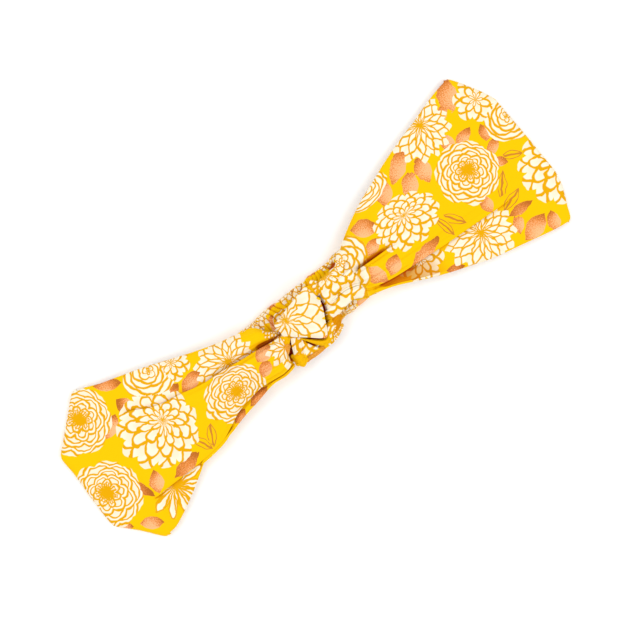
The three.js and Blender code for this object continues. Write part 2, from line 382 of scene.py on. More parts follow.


# ---- The fans ----

# Plan of each wrap, as (distance out from the middle, y) points. top and bottom are its pressed
# edges; crest is the edge of the pleat that laps over the upper part, low is the edge of the main
# part where it laps over the lower one; the laps are how deep those pleats go, the gaps how wide
# they stand open, which sets how dark the cloth in and beside them is painted (painted shade) and
# how far the cloth beside them sinks, and the low shade list how much painted shade darkens the
# lower part beside its lap. tip and inner are its two ends, as (y, distance out). It is cut in two
# at split, and tuck is how far the inner piece runs on under the outer one.
LEFT = {
    "side": -1,
    "split": 60,
    "tuck": 0,
    "crest_gap": [(12, 0.3), (17, 0.3), (20, 0.45), (23, 0.7), (25.5, 0.6), (27.5, 0.05), (40, 0),
                  (126, 0)],
    "low_gap": [(12, 0.3), (24, 0.15), (40, 0.1), (60, 0), (126, 0)],
    "low_painted_shade": [(12, 0), (126, 0)],
    "top": [(12, -0.5), (14, 1.0), (18.5, 5.2), (21.5, 9.3), (27, 11.4), (40, 15), (50, 18.5), (60, 22.5),
            (70, 26.5), (80, 30), (90, 33.3), (100, 37.2), (101, 37.3), (126, 37.3)],
    "crest": [(12, -1.6), (14, -1), (20, -0.1), (26, 1.0), (35, 2.2), (45, 3.7), (55, 4.8), (65, 7.3),
              (75, 9.5), (80, 11.5), (88, 16), (100, 20), (126, 22)],
    "crest_lap": [(12, 1), (14, 1), (26, 5), (45, 7), (65, 6), (80, 4), (92, 0), (126, 0)],
    "low": [(12, -8.5), (14, -10.5), (18, -13), (24, -14.4), (28, -13.9), (35, -13), (42, -13.6),
            (50, -15), (56, -17.5), (62, -20), (70, -21.3), (75, -21.6), (100, -21.5), (126, -23)],
    "low_lap": [(12, 2), (14, 2), (40, 3), (75, 5), (95, 4), (105, 0), (126, 0)],
    "bottom": [(12, -10), (14, -12), (18, -14.8), (24, -15.8), (30, -15.2), (40, -16.7), (50, -18.3),
               (60, -20.6), (70, -22), (75, -22.2), (80, -25), (90, -30.7), (100, -35.5),
               (104, -37), (108, -37.3), (126, -37.3)],
    "tip": [(37.3, 101.8), (18, 124.6), (10, 124.2), (-10, 125.2), (-18.5, 125.4), (-27.5, 117.4),
            (-35, 111.4), (-37.3, 109.4)],
    "inner": [(5, 15), (0.6, 14.2), (-3, 13.4), (-6, 15.9), (-10, 18.6), (-13, 18.2), (-17, 16)],
}
RIGHT = {
    "side": 1,
    "split": 26.5,
    "tuck": 8,
    "crest_gap": [(4, 0), (28, 0.05), (32, 0.25), (36, 0.5), (40, 0.6), (44, 0.3), (48, 0.05),
                  (126, 0)],
    "low_gap": [(4, 0), (32, 0), (34, 0.5), (37, 2.0), (42, 2.6), (46, 1.2), (51, 0.25), (56, 0.05),
                (80, 0), (126, 0)],
    "low_painted_shade": [(4, 0), (33, 0), (39, 0.42), (52, 0.36), (66, 0), (126, 0)],
    "top": [(4, 7.3), (12, 7.4), (20, 7.7), (24, 8.2), (26, 10.4), (30, 13), (34, 15.5), (40, 18.8),
            (50, 23.5), (60, 27), (70, 30.5), (80, 33.5), (90, 36), (100, 38.8), (111.5, 41.2),
            (126, 41.2)],
    "crest": [(4, 1.5), (20, 1.3), (26, 1), (34, 0.4), (42, -0.1), (50, -0.6), (70, -2), (126, -3)],
    "crest_lap": [(4, 0), (27, 0), (33, 2.2), (42, 2), (52, 0), (126, 0)],
    "low": [(4, -8.2), (12, -6.0), (20, -5.2), (24, -6.4), (28, -8.4), (30, -9.3), (35, -11),
            (40, -12), (50, -13.3), (60, -14.3), (70, -15.3), (80, -16), (90, -16.8), (100, -17.5),
            (126, -18)],
    "low_lap": [(4, 0), (24, 0), (29, 1.5), (35, 3), (60, 6), (90, 5), (104, 0), (126, 0)],
    "bottom": [(4, -11), (12, -8.8), (17, -7.9), (21, -8), (25, -10.2), (30, -12.4), (35, -14),
               (40, -16), (45, -18.5), (50, -21), (60, -25.5), (70, -29.3), (80, -33), (90, -35.5),
               (100, -38), (108, -40), (115, -41.2), (126, -41.2)],
    "tip": [(41.2, 113.6), (31.5, 119.4), (27, 121.9), (21, 124.6), (0, 125), (-20, 125.2),
            (-26, 124), (-34.5, 120), (-41.2, 117.2)],
    "inner": [(8, 9.4), (2, 8.6), (-1, 8.2), (-5.5, 5.9), (-8.6, 4.2), (-11, 3.0)],
}

# Along each wrap, as (distance out, value) points: the height of its surface, how far it bulges,
# how deep its creases are, and how thick its laps lie.
FAN_HEIGHT = [(4, 10.6), (14, 10.8), (20, 10.6), (28, 9.6), (45, 8.2), (60, 6.9), (80, 5.4), (98, 4.7),
              (110, 4.4), (126, TIP_Z)]
FAN_BULGE = [(4, 3.6), (14, 3.8), (28, 5), (40, 3.8), (55, 2), (75, 0.9), (98, 0.7), (126, 0.3)]
FAN_CREASING = [(4, 0.2), (14, 0.4), (20, 0.6), (28, 0.8), (45, 0.5), (70, 0.22), (98, 0.12), (126, 0.06)]
FAN_LOFT = [(4, 2.2), (26, 2.5), (32, 1.6), (45, 1.1), (60, 0.9), (75, 0.9), (126, 0.9)]
END_DROP = 2.2  # radius of the fan cloth's turn down at its inner end
TUCK_DEPTH = 0.6  # how far a strand tucked under its front lies below it

# Profiles of the folds, as (inward from the edge, up from the surface) points.
HEM_PROFILE = [(HEM, -1.4), (3.4, -1.4), (2.2, -1.4), (1.1, -1.38), (0.4, -1.15), (0, -0.7),
               (0.25, -0.25), (0.9, -0.02)]
LAP_RISE = 1.3
LAP_SPREAD = (1.2, -1.5)  # where its first and last columns lie where the cloth isn't folded
# A lap, from the lower layer, back under the upper one, round its edge and on: each point is
# (share of the lap's depth, distance inward from the edge, height).
LAP_PROFILE = [(0, 1.2, 0), (-0.3, 0.6, -0.5), (-0.7, 0, -0.8), (-1, 0, -0.8), (-1, -0.1, -0.72),
               (-1, 0, -0.64), (-0.65, 0, -0.62), (-0.3, -0.3, -0.4), (0, -0.6, -0.1), (0, -0.1, 0.42),
               (0, 0, 0.75), (0, -0.15, 1.08), (0, -0.55, 1.28), (0, -1.5, LAP_RISE)]
# Painted shade for each point of the lap's profile: its hidden part is painted dark.
LAP_PAINTED_SHADE = (0.6, 1, 1, 1, 1, 1, 1, 1, 1, 0.4, 0, 0, 0, 0)
RUN_COLUMNS = {"U": 26, "L": 42, "T": 18}
FAN_ROWS = 112
BACK_ROWS = 46
FAN_ENDS = (124.0, 15.0)  # distances out where its columns' places at the two ends are read


def lap_at(wrap, lap, out):
    """How deep a lap is at the distances out, and how far it has opened from flat."""
    depth = np.maximum(curve(wrap[lap + "_lap"], out), 0.0)
    return depth, ease(0.0, 1.5, depth)


def lap_columns(wrap, lap, out):
    """(y, z, painted shade) of the columns of the crest's lap or, mirrored, of the low one's."""
    count = len(LAP_PROFILE)
    columns = []
    for k, o in enumerate(out[:count]):
        point, side = (k, 1) if lap == "crest" else (count - 1 - k, -1)
        share, inward, up = LAP_PROFILE[point]
        depth, folded = lap_at(wrap, lap, o)
        flat = LAP_SPREAD[0] + (LAP_SPREAD[1] - LAP_SPREAD[0]) * point / (count - 1)
        across = flat * (1 - folded) + (share * depth + inward) * folded
        # Painted shade inside the lap, where its gap stands open.
        gaping = ease(0.05, 0.5, curve(wrap[lap + "_gap"], o))
        z = up * folded * curve(FAN_LOFT, o)
        columns.append((curve(wrap[lap], o) + side * across, z, LAP_PAINTED_SHADE[point] * folded * gaping))
    return columns


def hem_columns(wrap, edge, out):
    """(y, z, painted shade) of the columns of the top hem or, mirrored, of the bottom one."""
    profile, side = (HEM_PROFILE, -1) if edge == "top" else (HEM_PROFILE[::-1], 1)
    columns = []
    for (inward, up), o in zip(profile, out):
        columns.append((curve(wrap[edge], o) + side * inward, np.full_like(o, up), np.zeros_like(o)))
    return columns


def beside_lap(wrap, name, from_edge, out):
    """The painted shade on the cloth beside a lap's edge, for lying deep in its fold, and how far it
    sinks there.
    """
    lap, most = ("crest", 0.9) if name == "U" else ("low", 0.6)
    gap = np.maximum(curve(wrap[lap + "_gap"], out), 0.01)
    hollow = most * (1 - ease(0.3 * gap, 1.5 * gap, from_edge)) * ease(0.2, 0.6, gap)
    sinks = hollow * np.minimum(gap, 1.6)
    # The lower part also gets its listed painted shade beside its lap.
    return (np.maximum(hollow, curve(wrap["low_painted_shade"], out)) if name == "T" else hollow), sinks


def run_columns(wrap, name, upper, lower, out, seed):
    """(y, z, painted shade) of a run of open cloth between two laps or hems, given its edges."""
    count = RUN_COLUMNS[name]
    columns = []
    for k, o in enumerate(out[:count]):
        f = (k + 1) / (count + 1)
        y0 = upper(o)
        y1 = lower(o)
        y = y0 + (y1 - y0) * f
        wide = np.clip((y0 - y1) / 12, 0, 1)
        crest = lap_at(wrap, "crest", o)[1]
        low = lap_at(wrap, "low", o)[1]
        up = curve(FAN_BULGE, o) * wide * (low if name == "T" else crest) * math.sqrt(4 * f * (1 - f))
        ridge = wander(9 * f, seed + ord(name), 1.0) + 0.5 * wander(o + 20 * f, seed, 9)
        up = up + curve(FAN_CREASING, o) * wide * min(1, 8 * f * (1 - f)) * ridge
        if name == "L":
            rise = crest * (1 - ease(0, 0.4, f)) + low * ease(0.55, 1, f)
            columns.append((y, up + LAP_RISE * curve(FAN_LOFT, o) * rise, np.zeros_like(o)))
        else:
            hollow, sinks = beside_lap(wrap, name, y - y1 if name == "U" else y0 - y, o)
            columns.append((y, up - sinks, hollow))
    return columns


def fan_columns(wrap, out, seed):
    """(y, z, painted shade) columns across a wrap, from its upper hem to its lower one, at the distances
    out: one row of them for each column, because the pressed end's outline is slanted."""
    def edge(name, beyond):
        return lambda o: curve(wrap[name], o) + beyond

    columns = hem_columns(wrap, "top", out)
    columns += run_columns(wrap, "U", edge("top", -0.9), edge("crest", 1.2), out[len(columns):], seed)
    columns += lap_columns(wrap, "crest", out[len(columns):])
    columns += run_columns(wrap, "L", edge("crest", -1.5), edge("low", 1.5), out[len(columns):], seed)
    columns += lap_columns(wrap, "low", out[len(columns):])
    columns += run_columns(wrap, "T", edge("low", -1.2), edge("bottom", 0.9), out[len(columns):], seed)
    columns += hem_columns(wrap, "bottom", out[len(columns):])
    ys, zs, hollow = np.array(columns).transpose(1, 0, 2)

    # Where no pleat divides it, the whole width is one low dome.
    top = curve(wrap["top"], out)
    share = np.clip((top - ys) / np.maximum(top - curve(wrap["bottom"], out), 1), 0, 1)
    whole = 1 - lap_at(wrap, "crest", out)[1]
    return ys, zs + whole * curve(FAN_BULGE, out) * np.sqrt(4 * share * (1 - share)), hollow


def fan_layers():
    """The layer that each column of the fan belongs to."""
    lap = len(LAP_PROFILE)
    upper = "U" * (len(HEM_PROFILE) + RUN_COLUMNS["U"] + lap // 2)
    main = "L" * (lap - lap // 2 + RUN_COLUMNS["L"] + lap // 2)
    lower = "T" * (lap - lap // 2 + RUN_COLUMNS["T"] + len(HEM_PROFILE))
    return upper + main + lower


def fan_grid(wrap, seed):
    """The whole front of a wrap, from the knot to its pressed end: rows out from the knot."""
    columns = len(fan_layers())
    tip_y, knot_y = [fan_columns(wrap, np.full((columns, 1), out), seed)[0] for out in FAN_ENDS]
    reach = line(wrap["tip"], tip_y) - (TIP_Z - TABLE_GAP) / 2
    start = line(wrap["inner"], knot_y)
    out = start + (reach - start) * np.linspace(0, 1, FAN_ROWS)
    ys, zs, hollow = fan_columns(wrap, out, seed)
    past = np.clip(1 - (out - start) / END_DROP, 0, 1)
    zs = zs + curve(FAN_HEIGHT, out) - END_DROP * 1.4 * (1 - np.sqrt(1 - past**2))
    return np.stack([(wrap["side"] * out).T, ys.T, zs.T], axis=2), hollow.T


def tip_bend(wrap, fan, first, last, count, radius_less):
    """Rows that carry the fan's last row round its pressed end, from angle first to last."""
    middle = (TIP_Z + TABLE_GAP) / 2
    edge = fan[-1]
    along = np.gradient(edge[:, :2], axis=0)
    outward = unit(np.stack([-along[:, 1], along[:, 0]], 1) * wrap["side"])
    for _ in range(2):
        outward[1:-1] = (outward[:-2] + 2 * outward[1:-1] + outward[2:]) / 4
    outward = np.where(outward[:, :1] * wrap["side"] < 0, -outward, outward)
    rows = []
    for angle in np.linspace(math.radians(first), math.radians(last), count):
        radius = edge[:, 2] - middle - radius_less
        plan = edge[:, :2] + outward * (radius * math.sin(angle))[:, None]
        rows.append(np.column_stack([plan, middle + radius * math.cos(angle)]))
    return np.array(rows)


def mirror_if(points, flip):
    """Turns a grid's rows round so that its outside faces up on either side."""
    return points[::-1] if flip else points


def build_fan(name, wrap, flowers, leaves, seed, material):
    """The front of a wrap, and the cloth it runs into the knot with."""
    fan, hollow = fan_grid(wrap, seed)
    prints = (fan_layers()[:-1], flowers, leaves, material)
    flip = wrap["side"] > 0
    out = abs(fan[:, :, 0]).mean(axis=1)
    first = int(np.argmax(out > wrap["split"]))
    last = int(np.argmax(out > wrap["split"] + wrap["tuck"])) + 1
    bend = tip_bend(wrap, fan, 12, 110, 8, 0)

    front = mirror_if(np.concatenate([fan[first:], bend]), flip)
    # Painted shade of the front, carried round its pressed end.
    shade = mirror_if(np.concatenate([hollow[first:], hollow[-1:].repeat(len(bend), 0)]), flip)
    front_piece = cloth(name + "_front_cloth", front, *prints, shade)

    strand = mirror_if(fan[:last], flip)
    strand = strand - normals_of(strand, False) * (TUCK_DEPTH if wrap["tuck"] else 0)
    strand_piece = cloth(name + "_strand_cloth", strand, *prints, mirror_if(hollow[:last], flip))
    return front_piece, strand_piece, fan


def back_grid(wrap, fan):
    """The back of a wrap: from the bend at its pressed end, under the loop, to its seam."""
    bend = tip_bend(wrap, fan, 70, 180, 9, 0.7)[:, 8:-8]
    edge = bend[-1]
    columns = edge.shape[0]
    across = np.linspace(1, -1, columns)
    seam = np.column_stack([
        np.full(columns, wrap["side"] * (SEAM + 0.5)),
        SEAM_HALF_WIDTH * across,
        np.full(columns, TABLE_GAP + 0.9),
    ])
    rows = []
    for share in np.linspace(0, 1, BACK_ROWS)[1:]:
        row = edge * (1 - share) + seam * share
        gather = ease(0.55, 1, share) * 0.55
        row[:, 2] = TABLE_GAP + 0.7 + gather * (1 + wander(across * 11, 5, 1.0))
        row[:, 1] += 0.3 * wander(share * 9 + across * 2, 8, 1.0)
        rows.append(row)
    return np.concatenate([bend, np.array(rows)])


# ---- The knot's bands ----


BAND_ROWS = 40
BAND_COLUMNS = 28
BAND_RINGS = 6  # rows and columns of the rolled border
BAND_TURN = math.radians(150)  # how far the border is rolled under
BAND_CREASING = 0.25
BAND_SEED = 3


def band_grid(upper, lower, crown, roll):
    """A folded band of cloth between two edges drawn from left to right, its border rolled under,
    and how far each point is round that roll."""
    row = np.arange(-BAND_RINGS, BAND_ROWS + BAND_RINGS)
    column = np.arange(-BAND_RINGS, BAND_COLUMNS + BAND_RINGS)
    i = np.clip(row, 0, BAND_ROWS - 1)
    j = np.clip(column, 0, BAND_COLUMNS - 1)
    s = (i / (BAND_ROWS - 1))[:, None]
    t = (j / (BAND_COLUMNS - 1))[None, :]
    top = through(upper, BAND_ROWS)[i][:, None, :]
    bottom = through(lower, BAND_ROWS)[i][:, None, :]
    base = top * (1 - t)[:, :, None] + bottom * t[:, :, None]
    rise = np.sqrt(4 * s * (1 - s)) * np.sqrt(4 * t * (1 - t))
    creases = wander(t * 8, BAND_SEED, 1.0) + 0.6 * wander(t * 13 + s * 2, BAND_SEED + 1, 1.0)
    base[:, :, 2] += rise * (crown + BAND_CREASING * creases)

    inner = base[BAND_RINGS:-BAND_RINGS, BAND_RINGS:-BAND_RINGS]
    along = unit(np.gradient(inner, axis=0)[:, :, :2])[i][:, j]
    across = unit(np.gradient(inner, axis=1)[:, :, :2])[i][:, j]
    past_row = (row - i)[:, None]
    past_column = (column - j)[None, :]
    outward = unit(along * past_row[:, :, None] + across * past_column[:, :, None])
    ring = np.maximum(abs(past_row), abs(past_column)) / BAND_RINGS
    base[:, :, :2] += outward * (roll * np.sin(ring * BAND_TURN))[:, :, None]
    base[:, :, 2] -= roll * (1 - np.cos(ring * BAND_TURN))
    return base, ring


BANDS = [
    # name, layer, upper edge, lower edge, crown, roll, painted shade
    ("knot_flap", "F",
     [(-13.0, 3.9, 16.2), (-6, 5.4, 17.8), (1, 7.0, 18.0), (6.2, 8.1, 16.8)],
     [(-12.9, -0.8, 15.8), (-9.5, -4.2, 16.2), (-5, -8.1, 16.2), (-1.4, -11.4, 15), (0.3, -12.5, 14.4),
      (1.6, -11.2, 14.8), (4.2, -6.6, 15.6), (6.6, -2, 16), (7.8, 1.4, 16)],
     1.9, 0.9, 0),
    # The core is painted dark as painted shade, for the gaps between the bands above it; only its rolled
    # border keeps the print.
    ("knot_core", "Y",
     [(-19, 0, 7.6), (-8, 2.2, 8.4), (4, 4.2, 8.4), (12, 5, 8.4)],
     [(-19, -11.5, 7.0), (-8, -12.6, 7.4), (4, -11.6, 7.4), (12, -7.5, 7.6)],
     0.5, 1.0, 1),
    ("knot_underside", "K",
     [(-17, 2, 6.6), (-8, 4, 6.4), (4, 6, 6.4), (11, 6, 6.6)],
     [(-17, -11, 6.6), (-8, -12.4, 6.4), (4, -11.4, 6.4), (11, -8, 6.6)],
     -0.5, 0.2, 0),
    ("knot_inner_hem", "Y",
     [(-8.4, -7.4, 13.4), (-5.4, -10.9, 13), (-2.2, -13.8, 12), (-0.2, -14.7, 11.6), (2.6, -12.4, 11.8)],
     [(-7.4, -8.8, 13), (-5.2, -12, 12.2), (-2.6, -14.8, 11), (-0.4, -15.6, 10.6), (3.4, -13.4, 10.8)],
     0.5, 0.7, 0),
    ("knot_stripe_fold", "H",
     [(1.6, -12.6, 12.4), (4.0, -10.4, 13), (6.2, -9.6, 12.8)],
     [(1.6, -14.2, 11.2), (4.4, -13.2, 11.4), (6.6, -11.6, 11.6)],
     0.6, 0.6, 0),
    # This fold has some painted shade, which tints it amber.
    ("knot_side_fold", "Y",
     [(5.6, -10.4, 12), (8, -9.6, 12), (11, -9.2, 11)],
     [(4.6, -13.8, 10), (7.4, -13.2, 9.8), (10.8, -10.6, 9.6)],
     0.7, 0.7, 0.35),
    ("knot_lower_fold", "H",
     [(-1.5, -15.4, 8.4), (2, -15.2, 8.6), (6, -14.6, 8.8), (8.6, -13.4, 8.6)],
     [(-2, -16.4, 7), (2, -16.4, 7), (6, -15.2, 7.4), (8.8, -13.8, 7.8)],
     0.4, 0.7, 0),
    ("knot_left_bump", "Y",
     [(-16.2, -11.2, 10), (-14.8, -12.0, 10.6), (-13.0, -12.4, 10.6)],
     [(-16.4, -14.8, 8.6), (-15.2, -16.4, 8.2), (-12.8, -15.4, 8.6)],
     1.0, 0.9, 0),
    ("knot_white_pleat", "P",
     [(-11.3, -4.4, 14.2), (-13.1, -7.3, 13), (-14.8, -10.7, 11.2)],
     [(-9.2, -6.2, 14), (-10.8, -9.4, 12.8), (-13.0, -12.4, 11)],
     0.8, 0.8, 0),
    ("knot_patch_pleat", "P",
     [(-9.0, -7.2, 12.8), (-10.6, -10.4, 11.6), (-11.8, -14.2, 9.4)],
     [(-8.2, -9.2, 12.2), (-7.2, -12.2, 11), (-5.6, -15.2, 9)],
     0.6, 0.7, 0),
    ("knot_bottom_pleat", "S",
     [(-13, -15.6, 7.8), (-8, -15.8, 7.6), (-2.5, -15.6, 7.6)],
     [(-12.4, -16.2, 6.6), (-8, -16.5, 6.6), (-2.5, -16.3, 6.6)],
     0.3, 0.7, 0),
    ("knot_left_patch", "Y",
     [(-17.0, -2.6, 13), (-14.8, -2.0, 14), (-12.8, -1.6, 14.4)],
     [(-16.4, -4.4, 12.4), (-14.2, -4.6, 13), (-12.6, -3.4, 13.6)],
     0.5, 0.6, 0),
    ("knot_brown_pleat", "S",
     [(-18.4, -6.4, 11.6), (-16.6, -5.2, 12.4), (-14.4, -5.0, 12.6)],
     [(-18.4, -8.8, 11), (-16.8, -7.8, 11.4), (-15.0, -6.4, 12)],
     0.4, 0.6, 0),
    ("knot_tuck_yellow", "Y",
     [(6.4, 8.2, 14), (7.6, 8.1, 14), (8.4, 8.0, 13.8)],
     [(7.6, 4.4, 14), (8.2, 4.2, 14), (8.6, 4.0, 13.8)],
     0.3, 0.6, 0),
    ("knot_tuck_white", "Q",
     [(9.4, 9.8, 12.8), (10.4, 9.4, 13.4), (11.4, 9.0, 13)],
     [(9.2, 4.2, 13.4), (9.8, 4.4, 13.8), (11.2, 5.6, 13.4)],
     0.4, 0.6, 0),
]


def skirt_grid(flap, levels):
    """The cloth under the flap's border, down into the knot, and its painted shade: painted dark in
    front, where the folds below leave gaps."""
    r = BAND_RINGS + 1
    border = np.concatenate([flap[r:-r, r], flap[-r, r:-r], flap[-r:r:-1, -r], flap[r, -r:r:-1]])
    middle = border.mean(axis=0)
    rows = []
    for share in np.linspace(0, 1, levels):
        row = middle + (border - middle) * (0.96 - 0.1 * share)
        row[:, 2] = (border[:, 2] - 0.7) * (1 - share) + 7.4 * share
        rows.append(row)
    behind = ease(0, 2.5, border[:, 1] - (4.5 + 0.25 * border[:, 0]))
    return np.array(rows)[::-1], 1 - behind


def build_bands(material):
    """The bands of the knot, the top one first."""
    made = []
    grids = []
    for name, layer, upper, lower, crown, roll, hollow in BANDS:
        grid, round_edge = band_grid(upper, lower, crown, roll)
        # Painted shade: the core is painted dark but for its rolled border; the other bands are painted
        # dark under their rolled border, and at least as dark as listed all over.
        if hollow == 1:
            shade = 1 - ease(0, 0.4, round_edge)
        else:
            shade = np.maximum(ease(0.6, 1.0, round_edge), hollow)
        made.append(cloth(name, grid, layer, KNOT_FLOWERS, KNOT_LEAVES, material, shade))
        grids.append(grid)
    skirt, shade = skirt_grid(grids[0], 9)
    made.append(cloth("knot_skirt", skirt, "K", KNOT_FLOWERS, KNOT_LEAVES, material, shade,
                      uv=skirt[:, :, ::2], around=True))
    return made


# ---- The casing and what is in it ----


def casing_grid():
    """A tube of cloth gathered along its length, each gather a rounded ridge across it; with its place in
    the print, and painted shade in the valleys between gathers.
    """
    x = np.linspace(-CASING_HALF_LENGTH, CASING_HALF_LENGTH, CASING_ROWS)[:, None]
    angle = np.linspace(0, 2 * math.pi, CASING_COLUMNS, endpoint=False)[None, :]
    flat_y = np.sign(np.cos(angle)) * abs(np.cos(angle)) ** 0.55
    flat_z = np.sign(np.sin(angle)) * abs(np.sin(angle)) ** 0.8
    phase = x / GATHER + 0.8 * wander(x, 21, 5) + 0.7 * wander(flat_y * 9.0 + 0.2 * x, 22, 3.5)
    phase = phase + 0.5 * np.sign(flat_z) * wander(x, 23, 8)
    ridge = abs(np.sin(math.pi * phase)) ** 0.55
    swell = 0.6 + 0.4 * wander(x + 3 * flat_y, 24, 3.5)
    y = flat_y * (CASING_HALF_WIDTH - 1.1 + 1.5 * ridge * swell)
    sewn = ease(SEAM - 9, SEAM - 5, abs(x))
    half_height = (CASING_HALF_HEIGHT - 1.2 + 2.2 * ridge * swell) * (1 - 0.6 * sewn)
    z = CASING_MIDDLE_Z - 0.4 * sewn + flat_z * half_height
    points = np.stack(np.broadcast_arrays(x, y, np.maximum(z, 0.12)), axis=2)
    uv = np.stack(np.broadcast_arrays(CASING_FULLNESS * x, 8.5 * angle - 26), axis=2)
    # Painted shade, darkest in the valleys between the gathers.
    return points, uv, 0.85 * (1 - ease(0.1, 0.75, abs(np.sin(math.pi * phase))))


def elastic_grid():
    """A strip of woven elastic: ribs along it, with a slight wave where it is stretched."""
    x = np.linspace(-ELASTIC_HALF_LENGTH, ELASTIC_HALF_LENGTH, ELASTIC_ROWS)[:, None]
    y = np.linspace(ELASTIC_HALF_WIDTH, -ELASTIC_HALF_WIDTH, ELASTIC_COLUMNS)[None, :]
    ribs = 0.06 * np.cos(math.pi * y * ELASTIC_RIBS / ELASTIC_HALF_WIDTH)
    wave = 0.12 * wander(x + 0.3 * y, 31, 6)
    still = 1 - ease(SEAM - 12, SEAM - 8, abs(x))
    z = CASING_MIDDLE_Z + CLOTH / 2 + ribs + wave * still - 0.35 * (1 - still)
    return np.stack(np.broadcast_arrays(x, y, z), axis=2)


# ---- Materials ----


BANDS_AT_SCALE_ONE = 3.18  # a Wave texture's bands in one unit at scale 1


class Maths:
    """Writes shader maths as calls: each one adds a Math node and returns its output."""

    def __init__(self, tree):
        self.tree = tree

    def __call__(self, operation, *values):
        node = self.tree.nodes.new("ShaderNodeMath")
        node.operation = operation
        for socket, value in zip(node.inputs, values):
            if isinstance(value, (int, float)):
                socket.default_value = value
            else:
                self.tree.links.new(value, socket)
        return node.outputs[0]

    def between(self, low, high, value):
        """0 below low, 1 above high, smooth between."""
        node = self.tree.nodes.new("ShaderNodeMapRange")
        node.interpolation_type = "SMOOTHSTEP"
        node.inputs["From Min"].default_value = low
        node.inputs["From Max"].default_value = high
        self.tree.links.new(value, node.inputs["Value"])
        return node.outputs["Result"]

    def attribute(self, name):
        """The three numbers of a mesh attribute."""
        node = self.tree.nodes.new("ShaderNodeAttribute")
        node.attribute_name = name
        split = self.tree.nodes.new("ShaderNodeSeparateXYZ")
        self.tree.links.new(node.outputs["Vector"], split.inputs[0])
        return split.outputs[0], split.outputs[1], split.outputs[2]

    def mix(self, share, first, second):
        """A colour between two colours, each a socket or a colour."""
        node = self.tree.nodes.new("ShaderNodeMix")
        node.data_type = "RGBA"
        for socket, value in ((node.inputs[0], share), (node.inputs[6], first), (node.inputs[7], second)):
            if isinstance(value, tuple):
                socket.default_value = value + (1.0,)
            elif isinstance(value, (int, float)):
                socket.default_value = value
            else:
                self.tree.links.new(value, socket)
        return node.outputs[2]

    def radius(self, a, b):
        """The length of a plane vector."""
        return self("SQRT", self("ADD", self("MULTIPLY", a, a), self("MULTIPLY", b, b)))

    def over_print(self, kind):
        """A texture node of one kind, laid over the print."""
        where = self.tree.nodes.new("ShaderNodeUVMap")
        where.uv_map = "print"
        node = self.tree.nodes.new(kind)
        self.tree.links.new(where.outputs[0], node.inputs["Vector"])
        return node

    def noise(self, scale, detail=2.0):
        """Noise over the print, at a scale in bumps per print span."""
        node = self.over_print("ShaderNodeTexNoise")
        node.inputs["Scale"].default_value = scale
        node.inputs["Detail"].default_value = detail
        return node

    def wave(self, direction, bands, distortion):
        """Bands across the print in one direction, counted per print span."""
        node = self.over_print("ShaderNodeTexWave")
        node.bands_direction = direction
        node.inputs["Scale"].default_value = bands / BANDS_AT_SCALE_ONE
        node.inputs["Distortion"].default_value = distortion
        return node.outputs["Fac"]


YELLOW = (0.86, 0.50, 0.0)
MUSTARD = (0.72, 0.35, 0.0)
CREAM = (0.85, 0.79, 0.63)
BLUSH = (0.85, 0.72, 0.53)
COPPER = (0.70, 0.225, 0.045)
PALE_COPPER = (0.84, 0.44, 0.20)
BROWN = (0.44, 0.13, 0.015)
INK = (0.55, 0.21, 0.02)  # the leaves that are only drawn in outline
# Painted shade: the print is tinted amber and then dark red where the cloth lies deep in its folds.
AMBER = (0.72, 0.42, 0.1)  # what light between folds of yellow cloth does to its colours
FOLD_SHADE_COLOUR = (0.4, 0.02, 0.0)  # deep in the folds
EYE_RAYS = 23  # round a flower's eye
ECHO_DEPTH = 2.35  # how far inside a petal's edge its second line runs
RELIEF_DEPTH = 0.0002  # of the cloth's weave, in metres


def new_material(name):
    """An empty node material with its Principled shader."""
    material = bpy.data.materials.new(name)
    material.use_nodes = True
    return material, material.node_tree, material.node_tree.nodes["Principled BSDF"]


def bump(tree, shader, height, strength):
    """Gives a shader a fine relief."""
    relief = tree.nodes.new("ShaderNodeBump")
    relief.inputs["Strength"].default_value = strength
    relief.inputs["Distance"].default_value = RELIEF_DEPTH
    tree.links.new(height, relief.inputs["Height"])
    tree.links.new(relief.outputs[0], shader.inputs["Normal"])


def hand_drawn(m, u, v):
    """A flower's own coordinates, shifted a little from place to place like a drawn line."""
    for scale, amount in ((34, 0.13), (110, 0.07)):
        split = m.tree.nodes.new("ShaderNodeSeparateColor")
        m.tree.links.new(m.noise(scale, 0.0).outputs["Color"], split.inputs[0])
        u = m("MULTIPLY_ADD", m("SUBTRACT", split.outputs[0], 0.5), amount, u)
        v = m("MULTIPLY_ADD", m("SUBTRACT", split.outputs[1], 0.5), amount, v)
    return u, v


def scallop(m, turn, shift, petals, notch, roundness, around, per_mm):
    """How many rings a petal's edge falls back beside its middle, and rings per mm there."""
    side = m("FRACT", m("MULTIPLY_ADD", turn, petals, shift))
    side = m("ABSOLUTE", m("MULTIPLY_ADD", side, 2.0, -1.0))
    steep = m("MULTIPLY", m("POWER", side, m("SUBTRACT", roundness, 1.0)), roundness)
    steep = m("MULTIPLY", m("MULTIPLY", steep, notch), around)
    return m("MULTIPLY", m("POWER", side, roundness), notch), m.radius(steep, per_mm)


def innermost(m, ring, first, second):
    """How far inside its petal's edge a point lies, in millimetres, given two scallops. Rings
    overlap like scales, the inner over the outer, with every other ring turned by half a petal: a
    point belongs to the innermost petal that covers it."""
    even = m("ADD", ring, first[0])
    odd = m("ADD", ring, second[0])
    even_edge = m("MULTIPLY", m("CEIL", m("MULTIPLY", even, 0.5)), 2.0)
    odd_edge = m("MULTIPLY_ADD", m("CEIL", m("MULTIPLY_ADD", odd, 0.5, -0.5)), 2.0, 1.0)
    is_even = m("LESS_THAN", even_edge, odd_edge)
    even_depth = m("DIVIDE", m("SUBTRACT", even_edge, even), first[1])
    odd_depth = m("DIVIDE", m("SUBTRACT", odd_edge, odd), second[1])
    return m("MULTIPLY_ADD", is_even, m("SUBTRACT", even_depth, odd_depth), odd_depth)


